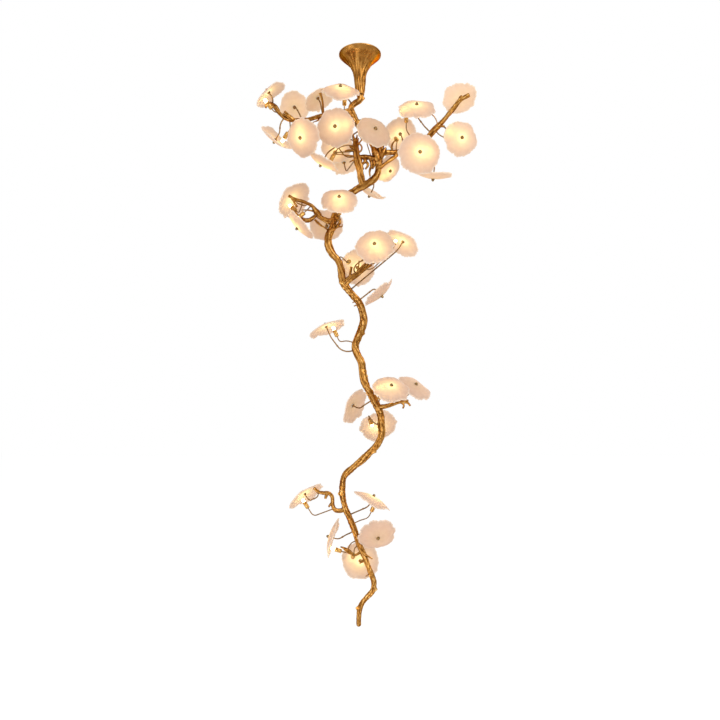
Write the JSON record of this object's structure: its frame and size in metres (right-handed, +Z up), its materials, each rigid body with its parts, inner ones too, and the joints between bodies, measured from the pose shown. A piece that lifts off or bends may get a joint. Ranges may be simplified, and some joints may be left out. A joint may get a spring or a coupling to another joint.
{
  "type": "cluster chandelier",
  "caption": "Tall gilt branch chandelier: a twisted cast trunk with side branches that carry domed frosted glass flowers on posts and small lamps in brass cups.",
  "frame": {"origin": "centre of the canopy in the ceiling plane, midway between the two screw holes of the ceiling bracket", "axes": "+Z up into the ceiling, -Y towards the picture's viewer, +X to the viewer's right"},
  "size_m": [0.8804, 0.4167, 2.2875],
  "materials": {
    "cast_brass": "antique gold casting",
    "rod_brass": "aged brass rod",
    "cup_brass": "satin brass",
    "steel": "zinc plated",
    "terminal_plastic": "moulded",
    "ceramic": "unglazed ceramic",
    "bulb_glass": "frosted, lit",
    "silicone": "soft silicone",
    "flower_glass": "frosted cast glass"
  },
  "bodies": {
    "frame": {"canopy": "cast_brass", "trunk_top": "cast_brass", "trunk_middle": "cast_brass", "trunk_foot": "cast_brass", "crown_stub_branch": "cast_brass", "crown_left_branch": "cast_brass", "crown_right_branch": "cast_brass", "fork_branch": "cast_brass", "arm_branch": "cast_brass", "spur_branch": "cast_brass", "hook_branch": "cast_brass", "ceiling_bracket": "steel", "hanger_nipple": "steel", "hanger_nuts": "steel", "trunk_dowels": "steel", "terminal_block": "terminal_plastic", "flower_stems": "rod_brass", "lamp_arms": "rod_brass", "lamp_holders": "cup_brass", "cap_nuts": "cup_brass", "lamp_sockets": "ceramic", "bulbs": "bulb_glass", "seat_washers": "silicone"},
    "flower_01": {"flower_01": "flower_glass"},
    "flower_02": {"flower_02": "flower_glass"},
    "flower_03": {"flower_03": "flower_glass"},
    "flower_04": {"flower_04": "flower_glass"},
    "flower_05": {"flower_05": "flower_glass"},
    "flower_06": {"flower_06": "flower_glass"},
    "flower_07": {"flower_07": "flower_glass"},
    "flower_08": {"flower_08": "flower_glass"},
    "flower_09": {"flower_09": "flower_glass"},
    "flower_10": {"flower_10": "flower_glass"},
    "flower_11": {"flower_11": "flower_glass"},
    "flower_12": {"flower_12": "flower_glass"},
    "flower_13": {"flower_13": "flower_glass"},
    "flower_14": {"flower_14": "flower_glass"},
    "flower_15": {"flower_15": "flower_glass"},
    "flower_16": {"flower_16": "flower_glass"},
    "flower_17": {"flower_17": "flower_glass"},
    "flower_18": {"flower_18": "flower_glass"},
    "flower_19": {"flower_19": "flower_glass"},
    "flower_20": {"flower_20": "flower_glass"},
    "flower_21": {"flower_21": "flower_glass"},
    "flower_22": {"flower_22": "flower_glass"},
    "flower_23": {"flower_23": "flower_glass"},
    "flower_24": {"flower_24": "flower_glass"},
    "flower_25": {"flower_25": "flower_glass"},
    "flower_26": {"flower_26": "flower_glass"},
    "flower_27": {"flower_27": "flower_glass"},
    "flower_28": {"flower_28": "flower_glass"},
    "flower_29": {"flower_29": "flower_glass"},
    "flower_30": {"flower_30": "flower_glass"},
    "flower_31": {"flower_31": "flower_glass"},
    "flower_32": {"flower_32": "flower_glass"},
    "flower_33": {"flower_33": "flower_glass"},
    "flower_34": {"flower_34": "flower_glass"},
    "flower_35": {"flower_35": "flower_glass"},
    "flower_36": {"flower_36": "flower_glass"},
    "flower_37": {"flower_37": "flower_glass"}
  },
  "joints": [
    {"name": "flower_01_turn", "type": "hinge", "parent": "frame", "child": "flower_01", "pos_m": [-0.365, -0.03, -0.16], "axis": [-0.6213, -0.1036, 0.7767], "continuous": true},
    {"name": "flower_02_turn", "type": "hinge", "parent": "frame", "child": "flower_02", "pos_m": [-0.275, 0.105, -0.165], "axis": [-0.1968, 0.9349, 0.2952], "continuous": true},
    {"name": "flower_03_turn", "type": "hinge", "parent": "frame", "child": "flower_03", "pos_m": [-0.175, 0.04, -0.15], "axis": [-0.4581, 0.2036, 0.8653], "continuous": true},
    {"name": "flower_04_turn", "type": "hinge", "parent": "frame", "child": "flower_04", "pos_m": [-0.075, -0.095, -0.175], "axis": [0.0504, -0.7062, 0.7062], "continuous": true},
    {"name": "flower_05_turn", "type": "hinge", "parent": "frame", "child": "flower_05", "pos_m": [-0.095, -0.115, -0.335], "axis": [-0.099, -0.9901, -0.099], "continuous": true},
    {"name": "flower_06_turn", "type": "hinge", "parent": "frame", "child": "flower_06", "pos_m": [-0.225, -0.13, -0.385], "axis": [-0.4969, -0.795, -0.3478], "continuous": true},
    {"name": "flower_07_turn", "type": "hinge", "parent": "frame", "child": "flower_07", "pos_m": [-0.345, 0.02, -0.34], "axis": [-0.597, 0.398, -0.6965], "continuous": true},
    {"name": "flower_08_turn", "type": "hinge", "parent": "frame", "child": "flower_08", "pos_m": [-0.155, -0.025, -0.45], "axis": [-0.5044, 0.1009, -0.8575], "continuous": true},
    {"name": "flower_09_turn", "type": "hinge", "parent": "frame", "child": "flower_09", "pos_m": [-0.07, 0.16, -0.37], "axis": [-0.1968, 0.2952, 0.9349], "continuous": true},
    {"name": "flower_10_turn", "type": "hinge", "parent": "frame", "child": "flower_10", "pos_m": [-0.095, 0.06, -0.345], "axis": [-0.0983, 0.9338, 0.344], "continuous": true},
    {"name": "flower_11_turn", "type": "hinge", "parent": "frame", "child": "flower_11", "pos_m": [0.06, -0.055, -0.32], "axis": [0.3491, -0.8479, 0.399], "continuous": true},
    {"name": "flower_12_turn", "type": "hinge", "parent": "frame", "child": "flower_12", "pos_m": [0.165, 0.08, -0.285], "axis": [-0.1009, 0.8575, 0.5044], "continuous": true},
    {"name": "flower_13_turn", "type": "hinge", "parent": "frame", "child": "flower_13", "pos_m": [0.22, -0.19, -0.46], "axis": [0.0995, -0.995, 0], "continuous": true},
    {"name": "flower_14_turn", "type": "hinge", "parent": "frame", "child": "flower_14", "pos_m": [0.225, -0.02, -0.21], "axis": [-0.0485, -0.7752, 0.6299], "continuous": true},
    {"name": "flower_15_turn", "type": "hinge", "parent": "frame", "child": "flower_15", "pos_m": [0.41, 0.055, -0.16], "axis": [0.3094, 0.9283, -0.2063], "continuous": true},
    {"name": "flower_16_turn", "type": "hinge", "parent": "frame", "child": "flower_16", "pos_m": [0.4, -0.045, -0.35], "axis": [0.1952, -0.9759, -0.0976], "continuous": true},
    {"name": "flower_17_turn", "type": "hinge", "parent": "frame", "child": "flower_17", "pos_m": [0.285, -0.055, -0.515], "axis": [-0.1025, 0.2049, -0.9734], "continuous": true},
    {"name": "flower_18_turn", "type": "hinge", "parent": "frame", "child": "flower_18", "pos_m": [0.125, 0.09, -0.435], "axis": [0.4534, -0.6046, -0.6549], "continuous": true},
    {"name": "flower_19_turn", "type": "hinge", "parent": "frame", "child": "flower_19", "pos_m": [0.04, 0.1, -0.535], "axis": [-0.4581, 0.3563, -0.8144], "continuous": true},
    {"name": "flower_20_turn", "type": "hinge", "parent": "frame", "child": "flower_20", "pos_m": [-0.28, 0.05, -0.56], "axis": [-0.6484, 0.399, 0.6484], "continuous": true},
    {"name": "flower_21_turn", "type": "hinge", "parent": "frame", "child": "flower_21", "pos_m": [-0.08, -0.085, -0.595], "axis": [0, -0.8, 0.6], "continuous": true},
    {"name": "flower_22_turn", "type": "hinge", "parent": "frame", "child": "flower_22", "pos_m": [-0.245, -0.045, -0.705], "axis": [-0.6991, -0.1498, -0.6991], "continuous": true},
    {"name": "flower_23_turn", "type": "hinge", "parent": "frame", "child": "flower_23", "pos_m": [-0.135, 0.065, -0.675], "axis": [0.1025, 0.9734, -0.2049], "continuous": true},
    {"name": "flower_24_turn", "type": "hinge", "parent": "frame", "child": "flower_24", "pos_m": [0.055, -0.11, -0.78], "axis": [-0.101, -0.9091, 0.4041], "continuous": true},
    {"name": "flower_25_turn", "type": "hinge", "parent": "frame", "child": "flower_25", "pos_m": [0.175, -0.005, -0.745], "axis": [0.4969, 0.3478, 0.795], "continuous": true},
    {"name": "flower_26_turn", "type": "hinge", "parent": "frame", "child": "flower_26", "pos_m": [-0.01, 0.04, -0.845], "axis": [0.0999, 0.9488, 0.2996], "continuous": true},
    {"name": "flower_27_turn", "type": "hinge", "parent": "frame", "child": "flower_27", "pos_m": [0.085, -0.04, -0.97], "axis": [0.6516, -0.1003, -0.7519], "continuous": true},
    {"name": "flower_28_turn", "type": "hinge", "parent": "frame", "child": "flower_28", "pos_m": [-0.14, 0.035, -1.08], "axis": [-0.398, 0.199, 0.8955], "continuous": true},
    {"name": "flower_29_turn", "type": "hinge", "parent": "frame", "child": "flower_29", "pos_m": [0.12, -0.1, -1.32], "axis": [0.0995, -0.597, 0.796], "continuous": true},
    {"name": "flower_30_turn", "type": "hinge", "parent": "frame", "child": "flower_30", "pos_m": [0.225, 0.01, -1.32], "axis": [0.3995, -0.4494, 0.799], "continuous": true},
    {"name": "flower_31_turn", "type": "hinge", "parent": "frame", "child": "flower_31", "pos_m": [-0.035, 0.045, -1.405], "axis": [-0.795, 0.4969, 0.3478], "continuous": true},
    {"name": "flower_32_turn", "type": "hinge", "parent": "frame", "child": "flower_32", "pos_m": [0.08, 0.08, -1.505], "axis": [0.2532, 0.6583, -0.7089], "continuous": true},
    {"name": "flower_33_turn", "type": "hinge", "parent": "frame", "child": "flower_33", "pos_m": [-0.235, 0.1, -1.775], "axis": [-0.5635, 0.4099, 0.7172], "continuous": true},
    {"name": "flower_34_turn", "type": "hinge", "parent": "frame", "child": "flower_34", "pos_m": [0.055, 0.03, -1.775], "axis": [0.4467, 0.0496, 0.8933], "continuous": true},
    {"name": "flower_35_turn", "type": "hinge", "parent": "frame", "child": "flower_35", "pos_m": [-0.125, 0.005, -1.93], "axis": [-0.9621, 0.1013, 0.2532], "continuous": true},
    {"name": "flower_36_turn", "type": "hinge", "parent": "frame", "child": "flower_36", "pos_m": [0.07, -0.06, -1.915], "axis": [0.2036, -0.8653, -0.4581], "continuous": true},
    {"name": "flower_37_turn", "type": "hinge", "parent": "frame", "child": "flower_37", "pos_m": [0, 0.05, -2.045], "axis": [-0.1009, 0.8575, -0.5044], "continuous": true}
  ]
}
